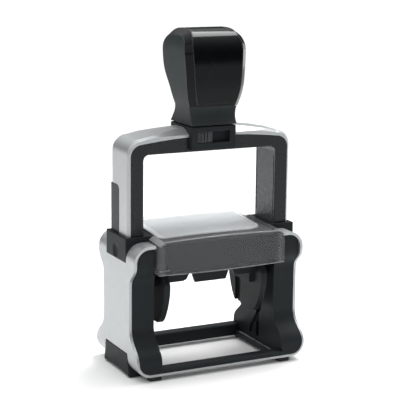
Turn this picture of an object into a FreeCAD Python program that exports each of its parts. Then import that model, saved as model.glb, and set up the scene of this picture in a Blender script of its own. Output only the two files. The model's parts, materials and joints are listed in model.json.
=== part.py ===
import FreeCAD, Part
import math
import os

# Self-inking hand stamp with a bow handle over a metal-sided frame. Millimetres.
# X runs across the stamp, -Y is the front, +Z is up, and z = 0 is the surface the stamp stands on.
# Pieces on the +X side are drawn once and mirrored for the -X side.

V = FreeCAD.Vector

# ---- driving dimensions ----
# mechanism
TRAVEL = 36.0            # stroke of the bow
FACE_RISE = 7.8          # from the axle to the printing face
PLATE_X = 28.0           # half length of the text plate
PLATE_Y = 13.0           # half depth of the text plate
PEG_ARM = 7.0            # from the axle to the cam peg
PEG_R = 1.2
PEG_REACH = 1.3          # how far a peg enters its groove
AXLE_R = 1.5
BUSH_T = 1.0
# plate holder
BACKING_T = 0.7
SHEET_T = 0.4
RELIEF = 0.5
CARRIER_T = 1.4
HOLDER_RIM = 1.5         # holder beyond the text plate, all round
ARM_T = 3.0
ARM_DROP = 20.0          # from the axle to the free end of an end plate
WEB_T = 1.5
# frame
CHEEK_GAP = 5.0          # between the text plate and the cheek
WALL = 2.5               # cheek wall between the cavity and the leg
BAND_T = 1.4             # sheet of the side bands and base plate
SHOULDER_R = 8.0
HEEL_R = 7.2
WAIST_WALL = 6.0         # cheek in front of and behind the leg at the waist
SHOULDER_STEP = 6.0      # shoulder beyond the waist
FOOT_T = 2.4             # rubber feet
FLOOR_T = 0.5            # floor under the cheeks, on the base plate
WINDOW_RIM = 7.0         # window beyond the text plate, front and rear
WINDOW_LIP = 1.1         # frame's lip around the window, inside the base plate
LIP_DROP = 0.8           # lip below the base plate
BAR_W = 6.0              # front and rear bars of the base
FRONT_BAR_H = 2.3
REAR_BAR_H = 4.0
BASE_H = 9.0             # wide part of the cheeks
STRIP_W = 1.2            # bright strips beside the window
STRIP_T = 0.4
STRIP_BREAK = 0.8
SIDE_PROUD = 0.1         # collar and foot block beyond the side band
BLOCK_TOP = 11.8
BLOCK_STEP = 3.6         # foot block beyond the collar, at its bottom
BLOCK_LEAN = 2.2         # foot block narrower at its top
SCREW_R = 1.1
SCREW_HEAD_R = 2.2
SCREW_HEAD_T = 1.2
SCREW_BITE = 7.0         # depth of a base screw in the cheek
SCREW_INSET = 2.65       # base screws behind the front bar and in front of the rear one
# collars
COLLAR_WALL = 1.65       # collar in front of and behind the leg
COLLAR_LIP = 1.8         # collar inside the cheek's face
COLLAR_PROUD = 2.5       # collar above the side band
# bow
LEG_T = 6.7              # dark core of a leg
LEG_Y = 10.0
TRIM_T = 1.5             # bright trim outside the core
BAR_H = 5.2              # bar at the corners
BAR_ARCH = 2.3           # extra height of the bar at its middle
TRIM_H = 7.8             # bar with its trim at the corners
TRIM_ARCH = 3.9
TRIM_LIP = 8.4           # upright front of the bar's trim, above the underside of the bar
TRIM_CROWN_Y = 3.0       # half depth of the level top, between the slopes to the lips
TRIM_R = 7.5             # outer corner of the trim
CORE_R = 6.0             # outer corner of the core
BOW_INNER_R = 3.0
INLAY_PROUD = 0.15
INLAY_DEPTH = 0.8
INLAY_DROP = 15.5        # inlay's top below the bar
SPARE = 3.1              # left between bar and collars at full stroke
# lock
LOCK_X = 12.0
LOCK_H = 11.2
LOCK_RISE = 1.2          # lock's floor above the underside of the bar
LOCK_FRONT = 3.0         # lock in front of the legs
LOCK_REAR = 1.0          # and behind them
LOCK_SILL = 3.1          # lock window above the lock's floor
SLOT_X = 8.7             # half width of the lock window
SLOT_DEPTH = 3.0
SLIDER_W = 7.8
# grip
GRIP_H = 45.8
GRIP_X = 16.4            # largest half width
GRIP_Y = 16.9            # largest depth in front of the axle
GRIP_BEVEL = 3.0         # along the shell's long edges
GRIP_GAP = 0.6           # shadow gap over the lock
NECK_H = 9.0             # matt neck below the glossy shell
SHELL_T = 3.1
PANEL_T = 1.0
PANEL_RIM = 0.25         # panel inside the bevels
PANEL_SEAM = 0.2         # open seam around the panel
PANEL_RISE = 1.6         # panel above the foot of the shell
GRIP_SCREW_X = 6.0
GRIP_SCREW_Y = 2.0
GRIP_SCREW_R = 1.4
GRIP_SCREW_HEAD = 2.6
GRIP_SCREW_HEAD_T = 0.8
GRIP_SCREW_BITE = 12.0   # depth of a grip screw in the grip
# hood
HOOD_LIP = 0.65          # hood below the ink pad's face
HOOD_STEP = 2.5          # hood in front of the shoulders
HOOD_REAR = 18.0
HOOD_H = 16.5
HOOD_RISE = 2.8          # extra height at the rear edge
HOOD_T = 1.3
HOOD_EDGE_R = 0.7
LINER_T = 0.8            # dark plate inside the hood's front
CARD_T = 0.4
CARD_MARGIN = 9.0        # from the cheek's face to the right end of the index card
# ink cartridge
TRAY_T = 0.6
CARTRIDGE_H = 7.75
FLANGE = 1.0
RAIL_T = 1.4
DECK_T = 1.5
LUG_T = 4.0              # bridge's lugs, clamped under the collars
# return springs
WIRE = 0.7
SPRING_R = 2.1           # outer radius
SPRING_TURNS = 18
POST_SEAT = 0.2          # spring post set into the floor
BORE_WALL = 0.55         # between the spring bore and the bush

# ---- clearances ----
RUN = 0.05               # radial, axle in its bush
SLIDE = 0.3              # between sliding faces
PEG_PLAY = 0.15          # peg in the cam groove, axle in its slot
PRINT_GAP = 0.2          # printing face above the table at full stroke
PAD_CLEAR = 0.2          # text plate under the ink pad as it starts to turn
CHANNEL_PLAY = 0.35      # leg in its channel, front and rear
BORE_PLAY = 0.35         # spring in its bore
TRIM_GAP = 0.35          # leg inside the side band
CARD_PLAY = 0.1          # card under the roof of the hood
FIT = 0.1                # around set-in pieces

FAR = 150.0              # beyond the whole stamp, for cutting tools

# ---- derived places, from the table up ----
BAND_LOW = FOOT_T
FLOOR_LOW = BAND_LOW + BAND_T
FLOOR_TOP = FLOOR_LOW + FLOOR_T
AXLE_LOW = PRINT_GAP + FACE_RISE
AXIS_Z = AXLE_LOW + TRAVEL


def swing_rise():
    """How far the rear edge of the text plate rises above the rest place as it starts to turn."""
    reach = math.hypot(PLATE_Y, FACE_RISE)
    lead = TRAVEL / math.pi
    turn = max(0.0, math.acos(min(1.0, lead / reach)) - math.atan2(FACE_RISE, PLATE_Y))
    return reach * math.sin(turn + math.atan2(FACE_RISE, PLATE_Y)) - lead * turn - FACE_RISE


PAD_FACE = AXIS_Z + FACE_RISE + swing_rise() + PAD_CLEAR
TRAY_LOW = PAD_FACE + 0.25
RAIL_LOW = PAD_FACE + 0.45
COLLAR_LOW = RAIL_LOW + LUG_T
TRAY_TOP = PAD_FACE + CARTRIDGE_H
DECK_LOW = TRAY_TOP + 0.4
DECK_TOP = DECK_LOW + DECK_T
HOOD_LOW = PAD_FACE - HOOD_LIP
HOOD_TOP = HOOD_LOW + HOOD_H          # top at the front edge
FRAME_TOP = HOOD_TOP - 2.1
COLLAR_TOP = FRAME_TOP + COLLAR_PROUD
BAR_LOW = COLLAR_TOP + TRAVEL + SPARE
TRIM_TOP = BAR_LOW + TRIM_H
LOCK_LOW = BAR_LOW + LOCK_RISE
LOCK_TOP = LOCK_LOW + LOCK_H
GRIP_LOW = LOCK_TOP + GRIP_GAP
SHELL_LOW = GRIP_LOW + NECK_H
GRIP_TOP = GRIP_LOW + GRIP_H
BUSH_R = AXLE_R + BUSH_T
LEG_LOW = AXIS_Z - BUSH_R - 1.0
INLAY_LOW = LEG_LOW + 22.0
INLAY_TOP = BAR_LOW - INLAY_DROP
SPRING_TOP = BAR_LOW - 7.5
CARRIER_TOP = FACE_RISE - RELIEF - SHEET_T - BACKING_T

# ---- derived places, from the middle out ----
HOLDER_X = PLATE_X + HOLDER_RIM
ARM_IN = PLATE_X - ARM_T
BLOCK_IN = ARM_IN - 2.0               # thicker part of the end plate, around the axle
TRAY_X = PLATE_X + 0.3 + TRAY_T
WALL_IN = PLATE_X + CHEEK_GAP         # inner face of the cheeks
BOSS_END = WALL_IN - SLIDE - 0.1
WINDOW_X = WALL_IN - 2.0
COLLAR_IN = WALL_IN - COLLAR_LIP
CARD_RIGHT = WALL_IN - CARD_MARGIN
HOOD_X = WALL_IN + 1.2
HOOD_NECK = COLLAR_IN - SLIDE
HOOD_SEAT = HOOD_X + SLIDE            # step in the cheek beside the hood
CHANNEL_IN = WALL_IN + WALL
LEG_IN = CHANNEL_IN + SLIDE
LEG_OUT = LEG_IN + LEG_T
LEG_MID = LEG_IN + LEG_T / 2
BUSH_END = LEG_OUT - 0.6
TRIM_OUT = LEG_OUT + TRIM_T
BAND_IN = TRIM_OUT + INLAY_PROUD + TRIM_GAP
BAND_OUT = BAND_IN + BAND_T
SIDE_OUT = BAND_OUT + SIDE_PROUD
SPLIT_X = BAND_OUT - HEEL_R - 1.2     # where the side band meets the base plate

# ---- derived places, front and rear ----
HOLDER_Y = PLATE_Y + HOLDER_RIM
TRAY_Y = PLATE_Y + 0.6 + TRAY_T
BRIDGE_Y = TRAY_Y + SLIDE
WINDOW_Y = PLATE_Y + WINDOW_RIM
BASE_Y = WINDOW_Y + BAR_W             # half depth of the base
WEB_Y = PLATE_Y - 3.5
CHANNEL_Y = LEG_Y + CHANNEL_PLAY
COLLAR_Y = CHANNEL_Y + COLLAR_WALL
BLOCK_Y = COLLAR_Y + BLOCK_STEP
WAIST_Y = LEG_Y + WAIST_WALL
SHOULDER_Y = WAIST_Y + SHOULDER_STEP
HOOD_FRONT = SHOULDER_Y + HOOD_STEP
BORE_R = SPRING_R + BORE_PLAY
SPRING_Y = BUSH_R + BORE_R + BORE_WALL    # behind the axle
POST_R = SPRING_R - WIRE - 0.2


# ---- helpers ----
def box(x0, x1, y0, y1, z0, z1):
    return Part.makeBox(x1 - x0, y1 - y0, z1 - z0, V(x0, y0, z0))


def rod_x(x0, x1, y, z, r):
    return Part.makeCylinder(r, x1 - x0, V(x0, y, z), V(1, 0, 0))


def rod_z(x, y, z0, z1, r):
    return Part.makeCylinder(r, z1 - z0, V(x, y, z0), V(0, 0, 1))


def mirror(shape):
    return shape.mirror(V(0, 0, 0), V(1, 0, 0))


def both(shape):
    return shape.fuse(mirror(shape))


def line(a, b):
    return Part.LineSegment(a, b).toShape()


def arc(a, middle, b):
    return Part.Arc(a, middle, b).toShape()


def bezier(points):
    curve = Part.BezierCurve()
    curve.setPoles(points)
    return curve.toShape()


def spline(points):
    curve = Part.BSplineCurve()
    curve.interpolate(points)
    return curve.toShape()


def prism(edges, direction):
    return Part.Face(Part.Wire(edges)).extrude(direction)


def polygon(points, direction):
    return Part.Face(Part.makePolygon(points + [points[0]])).extrude(direction)


def edges_where(shape, test):
    return [edge for edge in shape.Edges if test(edge)]


def along(edge, axis):
    """True for a straight edge that runs along the given axis."""
    if edge.Curve.TypeId != "Part::GeomLine":
        return False
    start, end = edge.Vertexes[0].Point, edge.Vertexes[-1].Point
    return abs((end - start).normalize().dot(axis)) > 0.999


def quarter(center_x, center_z, r, sx, sz, y=0.0):
    """Middle point of a quarter arc in the XZ plane."""
    d = r * math.sqrt(0.5)
    return V(center_x + sx * d, y, center_z + sz * d)


def side_section(x_in, x_out, z_low, z_high, heel_r, shoulder_r, half_y):
    """Block whose outer bottom and top corners are rounded, seen from the front."""
    y = -half_y
    edges = [
        line(V(x_in, y, z_low), V(x_out - heel_r, y, z_low)),
        arc(V(x_out - heel_r, y, z_low), quarter(x_out - heel_r, z_low + heel_r, heel_r, 1, -1, y),
            V(x_out, y, z_low + heel_r)),
        line(V(x_out, y, z_low + heel_r), V(x_out, y, z_high - shoulder_r)),
        arc(V(x_out, y, z_high - shoulder_r),
            quarter(x_out - shoulder_r, z_high - shoulder_r, shoulder_r, 1, 1, y),
            V(x_out - shoulder_r, y, z_high)),
        line(V(x_out - shoulder_r, y, z_high), V(x_in, y, z_high)),
        line(V(x_in, y, z_high), V(x_in, y, z_low)),
    ]
    return prism(edges, V(0, 2 * half_y, 0))


def bone_section(low_y, waist_y, high_y, x0, x1):
    """Side view of the frame: wide base, narrow waist, wide shoulder."""
    base_z = BASE_H
    waist_low = base_z + 16.0
    waist_high = COLLAR_LOW - 11.1
    shoulder_z = COLLAR_LOW + 0.4
    top = COLLAR_TOP + 10
    rising = (base_z + waist_low) / 2 - 1.0
    falling = (waist_high + shoulder_z) / 2

    def half(s):
        return [
            line(V(x0, s * low_y, 0), V(x0, s * low_y, base_z)),
            bezier([V(x0, s * low_y, base_z), V(x0, s * low_y, rising),
                    V(x0, s * waist_y, rising), V(x0, s * waist_y, waist_low)]),
            line(V(x0, s * waist_y, waist_low), V(x0, s * waist_y, waist_high)),
            bezier([V(x0, s * waist_y, waist_high), V(x0, s * waist_y, falling),
                    V(x0, s * high_y, falling), V(x0, s * high_y, shoulder_z)]),
            line(V(x0, s * high_y, shoulder_z), V(x0, s * high_y, top)),
        ]
    edges = half(-1) + [line(V(x0, -high_y, top), V(x0, high_y, top))] + half(1)
    edges.append(line(V(x0, low_y, 0), V(x0, -low_y, 0)))
    return Part.Face(Part.Wire(Part.__sortEdges__(edges))).extrude(V(x1 - x0, 0, 0))


# ---- frame ----
def inner_section(z_low):
    """What the side band and base plate enclose, above z_low."""
    full = side_section(WINDOW_X, BAND_IN, FLOOR_LOW, FRAME_TOP - BAND_T,
                        HEEL_R - BAND_T, SHOULDER_R - BAND_T, FAR)
    return full.cut(box(0, FAR, -FAR, FAR, 0, z_low))


def base_frame():
    floor = inner_section(FLOOR_LOW)
    floor = floor.common(bone_section(BASE_Y, WAIST_Y, SHOULDER_Y, 0, FAR))
    floor = floor.common(box(0, FAR, -FAR, FAR, 0, FLOOR_TOP))
    bed = box(WINDOW_X, WALL_IN, -WINDOW_Y, WINDOW_Y, FLOOR_LOW, FLOOR_TOP)
    front_bar = box(-WALL_IN, WALL_IN, -BASE_Y, -WINDOW_Y, FLOOR_LOW, FLOOR_LOW + FRONT_BAR_H)
    rear_bar = box(-WALL_IN, WALL_IN, WINDOW_Y, BASE_Y, FLOOR_LOW, FLOOR_LOW + REAR_BAR_H)
    bars = front_bar.fuse(rear_bar)
    upper = edges_where(bars, lambda e: along(e, V(1, 0, 0)) and e.CenterOfMass.z > FLOOR_TOP)
    bars = bars.makeChamfer(0.6, upper)
    lip_low = BAND_LOW - LIP_DROP
    x, y = WINDOW_X + WINDOW_LIP, WINDOW_Y + WINDOW_LIP
    lip = box(-x, x, -y, y, lip_low, FLOOR_LOW)
    lip = lip.cut(box(-WINDOW_X, WINDOW_X, -WINDOW_Y, WINDOW_Y, 0, FLOOR_TOP))
    frame = bars.multiFuse([bed, mirror(bed), floor, mirror(floor), lip])
    for x, y in screw_places():
        frame = frame.cut(rod_z(x, y, FLOOR_LOW - 1, FLOOR_TOP + 1, SCREW_R))
    for sx in (-1, 1):
        frame = frame.cut(rod_z(sx * LEG_MID, SPRING_Y, FLOOR_TOP - POST_SEAT, FLOOR_TOP + 1, POST_R))
    for strip in strip_pair():
        frame = frame.cut(strip).cut(mirror(strip))
    return frame.removeSplitter()


def strip_pair():
    """The two lengths of bright strip on the right of the window."""
    x = WINDOW_X + 0.4
    low = FLOOR_TOP - STRIP_T
    end = WINDOW_Y - 3.5
    front = box(x, x + STRIP_W, -end, -STRIP_BREAK / 2, low, FLOOR_TOP)
    rear = box(x, x + STRIP_W, STRIP_BREAK / 2, end, low, FLOOR_TOP)
    return [front, rear]


def window_strip():
    return Part.makeCompound(strip_pair())


def screw_places():
    x = (CHANNEL_IN + WALL_IN) / 2 + 1.0
    y = WINDOW_Y - SCREW_INSET
    return [(sx * x, sy * y) for sx in (-1, 1) for sy in (-1, 1)]


def base_screws():
    screws = []
    for x, y in screw_places():
        head = rod_z(x, y, FLOOR_LOW - SCREW_HEAD_T, FLOOR_LOW, SCREW_HEAD_R)
        slot = box(x - 2.0, x + 2.0, y - 0.3, y + 0.3, 0, FLOOR_LOW - SCREW_HEAD_T + 0.5)
        shank = rod_z(x, y, FLOOR_LOW, FLOOR_TOP + SCREW_BITE, SCREW_R)
        screws.append(head.fuse(shank).cut(slot))
    return Part.makeCompound(screws)


def base_plate():
    y = BASE_Y - 0.6
    plate = box(-SPLIT_X, SPLIT_X, -y, y, BAND_LOW, FLOOR_LOW)
    x = WINDOW_X + WINDOW_LIP + FIT
    y = WINDOW_Y + WINDOW_LIP + FIT
    plate = plate.cut(box(-x, x, -y, y, 0, FLOOR_LOW + 1))
    for x, y in screw_places():
        plate = plate.cut(rod_z(x, y, 0, FLOOR_LOW + 1, SCREW_HEAD_R + FIT))
    return plate


def block_profile(grow, x0, x1):
    """Side view of the foot block: leaning ends and a bottom edge arched off the table."""
    y = BLOCK_Y + grow
    top_y = y - BLOCK_LEAN
    low = 0.6
    top = BLOCK_TOP + grow
    edges = [
        line(V(x0, -y, low), V(x0, -top_y, top)),
        line(V(x0, -top_y, top), V(x0, top_y, top)),
        line(V(x0, top_y, top), V(x0, y, low)),
        arc(V(x0, y, low), V(x0, 0, low + 0.9 - grow), V(x0, -y, low)),
    ]
    return prism(edges, V(x1 - x0, 0, 0))


def foot_block():
    """Shoe outside the heel of the side band, its outer face upright."""
    block = block_profile(0, SPLIT_X + 0.2, SIDE_OUT)
    outer = edges_where(block, lambda e: e.BoundBox.XMin > SIDE_OUT - 0.01)
    return block.makeChamfer(0.4, outer).cut(inner_section(FLOOR_LOW))


def side_band():
    outer = side_section(WINDOW_X, BAND_OUT, BAND_LOW, FRAME_TOP, HEEL_R, SHOULDER_R, FAR)
    band = outer.cut(inner_section(FLOOR_LOW))
    band = band.common(bone_section(BASE_Y - 0.6, WAIST_Y - 0.2, SHOULDER_Y, 0, FAR))
    band = band.cut(box(0, HOOD_SEAT + FIT, -FAR, FAR, BLOCK_TOP, FAR))
    band = band.cut(box(0, SPLIT_X, -FAR, FAR, 0, BLOCK_TOP))
    band = band.cut(box(0, FAR, -COLLAR_Y - FIT / 2, COLLAR_Y + FIT / 2, COLLAR_LOW - FIT / 2, FAR))
    return band.cut(block_profile(FIT, 0, FAR)).removeSplitter()


def cam_point(turn, offset):
    """Centre of the cam peg after the plate has turned, moved sideways by offset."""
    y = -PEG_ARM * math.cos(turn)
    z = AXIS_Z - TRAVEL * turn / math.pi - PEG_ARM * math.sin(turn)
    dy = PEG_ARM * math.sin(turn)
    dz = -TRAVEL / math.pi - PEG_ARM * math.cos(turn)
    size = math.hypot(dy, dz)
    return V(WALL_IN, y + offset * dz / size, z - offset * dy / size)


def cam_groove():
    half = PEG_R + PEG_PLAY
    steps = 12
    turns = [math.pi * i / steps for i in range(steps + 1)]
    left = spline([cam_point(t, half) for t in turns])
    right = spline([cam_point(t, -half) for t in turns])
    first, last = cam_point(0, 0), cam_point(math.pi, 0)
    top = arc(cam_point(0, half), V(WALL_IN, first.y, first.z + half), cam_point(0, -half))
    bottom = arc(cam_point(math.pi, half), V(WALL_IN, last.y, last.z - half), cam_point(math.pi, -half))
    face = Part.Face(Part.Wire(Part.__sortEdges__([left, right, top, bottom])))
    return face.extrude(V(PEG_REACH + 0.2, 0, 0))


def cheek():
    body = inner_section(FLOOR_TOP).common(bone_section(BASE_Y, WAIST_Y, SHOULDER_Y - 1.5, 0, FAR))
    body = body.cut(box(0, WALL_IN, -FAR, FAR, 0, FAR))
    step = box(0, HOOD_SEAT, -FAR, FAR, HOOD_LOW - 0.9, FAR)
    body = body.cut(step)
    body = body.cut(box(0, FAR, -COLLAR_Y, COLLAR_Y, COLLAR_LOW, FAR))
    body = body.cut(box(CHANNEL_IN, FAR, -CHANNEL_Y, CHANNEL_Y, 0, FAR))
    half = AXLE_R + PEG_PLAY
    slot = box(WALL_IN - 1, CHANNEL_IN + 1, -half, half, AXLE_LOW, AXIS_Z)
    slot = slot.fuse(rod_x(WALL_IN - 1, CHANNEL_IN + 1, 0, AXLE_LOW, half))
    slot = slot.fuse(rod_x(WALL_IN - 1, CHANNEL_IN + 1, 0, AXIS_Z, half))
    body = body.cut(slot).cut(cam_groove())
    for x, y in screw_places():
        if x > 0:
            body = body.cut(rod_z(x, y, FLOOR_TOP - 1, FLOOR_TOP + SCREW_BITE, SCREW_R))
    return body.removeSplitter()


def collar():
    body = box(COLLAR_IN, SIDE_OUT, -COLLAR_Y, COLLAR_Y, COLLAR_LOW, COLLAR_TOP)
    upright = edges_where(body, lambda e: along(e, V(0, 0, 1)))
    inner = [e for e in upright if e.CenterOfMass.x < COLLAR_IN + 1]
    body = body.makeChamfer(COLLAR_WALL, inner)
    rim = edges_where(body, lambda e: abs(e.CenterOfMass.x - SIDE_OUT) < 0.01)
    body = body.makeFillet(0.5, rim)
    scoop_r = 0.75 * COLLAR_Y
    scoop = Part.makeSphere(scoop_r, V(SIDE_OUT + 0.9 * scoop_r, 0, COLLAR_LOW + 3.6))
    channel = box(CHANNEL_IN, BAND_IN, -CHANNEL_Y, CHANNEL_Y, COLLAR_LOW - 1, COLLAR_TOP + 1)
    return body.cut(scoop).cut(channel)


def rubber_feet():
    x, y = screw_places()[-1]
    inner = WINDOW_X + WINDOW_LIP + FIT
    pad = box(inner, SPLIT_X + 1.2, y + SCREW_HEAD_R + SLIDE, BASE_Y - 1.6, 0, FOOT_T)
    pad = pad.makeFillet(1.5, edges_where(pad, lambda e: along(e, V(0, 0, 1))))
    front = pad.mirror(V(0, 0, 0), V(0, 1, 0))
    return Part.makeCompound([pad, mirror(pad), front, mirror(front)])


def spring_post():
    low = FLOOR_TOP - POST_SEAT
    post = rod_z(LEG_MID, SPRING_Y, low, SPRING_TOP - TRAVEL - 3.0, POST_R)
    tip = edges_where(post, lambda e: e.CenterOfMass.z > low + 1 and e.Curve.TypeId == "Part::GeomCircle")
    return post.makeChamfer(0.4, tip)


def return_spring():
    """Compression spring from the floor to the blind end of the bore in the leg."""
    low = FLOOR_TOP + WIRE / 2 + RUN / 2
    height = SPRING_TOP - WIRE / 2 - RUN / 2 - low
    coil = SPRING_R - WIRE / 2
    helix = Part.makeHelix(height / SPRING_TURNS, height, coil)
    start = V(coil, 0, 0)
    lead = height / SPRING_TURNS / (2 * math.pi * coil)
    section = Part.Wire(Part.makeCircle(WIRE / 2, start, V(0, 1, lead)))
    spring = Part.Wire(helix.Edges).makePipeShell([section], True, True)
    spring.translate(V(LEG_MID, SPRING_Y, low))
    return spring


def pad_bridge():
    """Deck that carries the index card above and the ink cartridge in its rails below."""
    ledge_in = TRAY_X + SLIDE
    wall_in = TRAY_X + FLANGE + 0.2
    lug_y = COLLAR_Y - 0.5
    ledge = box(ledge_in, COLLAR_IN, -BRIDGE_Y, BRIDGE_Y, RAIL_LOW, RAIL_LOW + RAIL_T)
    lug = box(wall_in, HOOD_SEAT, -lug_y, lug_y, RAIL_LOW, COLLAR_LOW)
    wall = box(wall_in, COLLAR_IN, -BRIDGE_Y, BRIDGE_Y, RAIL_LOW, DECK_LOW)
    stop = box(-COLLAR_IN, COLLAR_IN, -BRIDGE_Y - 1.0, -BRIDGE_Y, RAIL_LOW, DECK_LOW)
    deck = box(-COLLAR_IN, COLLAR_IN, -BRIDGE_Y - 1.0, BRIDGE_Y, DECK_LOW, DECK_TOP)
    pieces = [both(ledge), both(lug), both(wall), stop, card_bed()]
    return deck.multiFuse(pieces).removeSplitter()


def card_bed():
    half = HOOD_NECK - HOOD_T - 0.4
    front = -HOOD_FRONT + HOOD_T + LINER_T + SLIDE
    rear = HOOD_REAR - 1.0
    slope = HOOD_RISE / (HOOD_FRONT + HOOD_REAR)
    low = HOOD_TOP - HOOD_T - CARD_T - 0.8
    points = [V(-half, front, DECK_TOP - 0.5), V(-half, rear, DECK_TOP - 0.5),
              V(-half, rear, low + slope * (rear + HOOD_FRONT)),
              V(-half, front, low + slope * (front + HOOD_FRONT))]
    return polygon(points, V(2 * half, 0, 0))


# ---- bow ----
def bow_corner(x, z_top, corner_r, side):
    """Edge of a leg from its foot up, and the corner at its top."""
    knee = z_top - corner_r
    flat = side * (x - corner_r)
    return [
        line(V(side * x, 0, LEG_LOW), V(side * x, 0, knee)),
        arc(V(side * x, 0, knee), quarter(flat, knee, corner_r, side, 1), V(flat, 0, z_top)),
    ]


def bow_solid(x_out, z_top, corner_r, arch):
    """Inverted U, its bar arched on top."""
    outer = bow_corner(x_out, z_top, corner_r, 1) + bow_corner(x_out, z_top, corner_r, -1)
    flat = x_out - corner_r
    outer.append(arc(V(flat, 0, z_top), V(0, 0, z_top + arch), V(-flat, 0, z_top)))
    inner = bow_corner(LEG_IN, BAR_LOW, BOW_INNER_R, 1) + bow_corner(LEG_IN, BAR_LOW, BOW_INNER_R, -1)
    flat = LEG_IN - BOW_INNER_R
    inner.append(line(V(flat, 0, BAR_LOW), V(-flat, 0, BAR_LOW)))
    feet = [line(V(s * LEG_IN, 0, LEG_LOW), V(s * x_out, 0, LEG_LOW)) for s in (-1, 1)]
    face = Part.Face(Part.Wire(Part.__sortEdges__(outer + inner + feet)))
    face.translate(V(0, -LEG_Y, 0))
    return face.extrude(V(0, 2 * LEG_Y, 0))


def leg_heel():
    """Corner taken off a leg's foot, so that it clears the rounded heel of the frame."""
    r = HEEL_R - BAND_T - 0.8
    corner = box(TRIM_OUT - r, FAR, -FAR, FAR, LEG_LOW - 1, LEG_LOW + r)
    round_part = Part.makeCylinder(r, 2 * FAR, V(TRIM_OUT - r, -FAR, LEG_LOW + r), V(0, 1, 0))
    return both(corner.cut(round_part))


def core_solid():
    solid = bow_solid(LEG_OUT, BAR_LOW + BAR_H, CORE_R, BAR_ARCH)
    return solid.cut(leg_heel())


def lock_gap():
    return box(-LOCK_X, LOCK_X, -FAR, FAR, LOCK_LOW, GRIP_TOP)


def leg_inlay():
    """Dark inlay in the rear half of the trim, its upper front corner round."""
    body = box(TRIM_OUT - INLAY_DEPTH, TRIM_OUT + INLAY_PROUD, 0.8, LEG_Y, INLAY_LOW, INLAY_TOP)
    corner = edges_where(body, lambda e: along(e, V(1, 0, 0)) and e.CenterOfMass.z > INLAY_TOP - 1
                         and e.CenterOfMass.y < 1)
    return body.makeFillet(3.0, corner)


def bow_trim():
    """Bright trim over one leg and half the bar, its outer edges bevelled."""
    full = bow_solid(TRIM_OUT, TRIM_TOP, TRIM_R, TRIM_ARCH)

    def outside(edge):
        middle = edge.valueAt((edge.FirstParameter + edge.LastParameter) / 2)
        far = abs(middle.x) > TRIM_OUT - 5 or middle.z > TRIM_TOP - 1
        return abs(abs(middle.y) - LEG_Y) < 0.01 and far
    full = full.makeChamfer(1.2, edges_where(full, outside))
    trim = full.cut(leg_heel()).cut(core_solid()).cut(lock_gap()).cut(box(-FAR, 0, -FAR, FAR, 0, GRIP_TOP))
    return trim.cut(leg_inlay()).cut(top_slopes()).removeSplitter()


def top_slopes():
    """What slopes off the bar's trim in front and behind, most at the middle of the arch."""
    low = BAR_LOW + TRIM_LIP
    high = TRIM_TOP + TRIM_ARCH + 0.2
    x = LEG_IN
    front = polygon([V(-x, -LEG_Y - 1, low), V(-x, -LEG_Y, low), V(-x, -TRIM_CROWN_Y, high),
                     V(-x, -LEG_Y - 1, high)], V(2 * x, 0, 0))
    return front.fuse(front.mirror(V(0, 0, 0), V(0, 1, 0)))


def bow_core():
    core = core_solid()

    def inner_rim(edge):
        middle = edge.valueAt((edge.FirstParameter + edge.LastParameter) / 2)
        inside = abs(middle.x) < LEG_IN + 0.1 and middle.z < BAR_LOW + 0.1
        return abs(abs(middle.y) - LEG_Y) < 0.01 and middle.z > LEG_LOW + 0.1 and inside
    core = core.makeFillet(0.5, edges_where(core, inner_rim)).cut(lock_gap())
    for s in (-1, 1):
        bore = rod_z(s * LEG_MID, SPRING_Y, LEG_LOW - 1, SPRING_TOP, BORE_R)
        hole = rod_x(LEG_IN - 1, BUSH_END, 0, AXIS_Z, BUSH_R)
        core = core.cut(bore).cut(hole if s > 0 else mirror(hole))
        for y in (-LEG_Y + 1.4, LEG_Y - 1.4):
            groove = box(LEG_IN - 1, LEG_IN + 0.4, y - 0.3, y + 0.3, COLLAR_TOP + 4, BAR_LOW - 5)
            core = core.cut(groove if s > 0 else mirror(groove))
        x = s * GRIP_SCREW_X
        head_top = BAR_LOW + GRIP_SCREW_HEAD_T
        core = core.cut(rod_z(x, GRIP_SCREW_Y, BAR_LOW - 1, LOCK_TOP, GRIP_SCREW_R))
        core = core.cut(rod_z(x, GRIP_SCREW_Y, BAR_LOW - 1, head_top, GRIP_SCREW_HEAD))
    return core.removeSplitter()


def grip_screws():
    screws = []
    for s in (-1, 1):
        x = s * GRIP_SCREW_X
        head_top = BAR_LOW + GRIP_SCREW_HEAD_T
        head = rod_z(x, GRIP_SCREW_Y, BAR_LOW, head_top, GRIP_SCREW_HEAD)
        slot = box(x - 2.0, x + 2.0, GRIP_SCREW_Y - 0.35, GRIP_SCREW_Y + 0.35, BAR_LOW - 1, BAR_LOW + 0.4)
        shank = rod_z(x, GRIP_SCREW_Y, head_top, GRIP_LOW + GRIP_SCREW_BITE, GRIP_SCREW_R)
        screws.append(head.fuse(shank).cut(slot))
    return Part.makeCompound(screws)


def axle_bush():
    outer = rod_x(LEG_IN, BUSH_END, 0, AXIS_Z, BUSH_R)
    return outer.cut(rod_x(LEG_IN - 1, LEG_OUT, 0, AXIS_Z, AXLE_R + RUN))


def lock_window():
    low = LOCK_LOW + LOCK_SILL
    high = low + 5.7
    front = -LEG_Y - LOCK_FRONT
    return box(-SLOT_X, SLOT_X, front - 1, front + SLOT_DEPTH, low, high)


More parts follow.
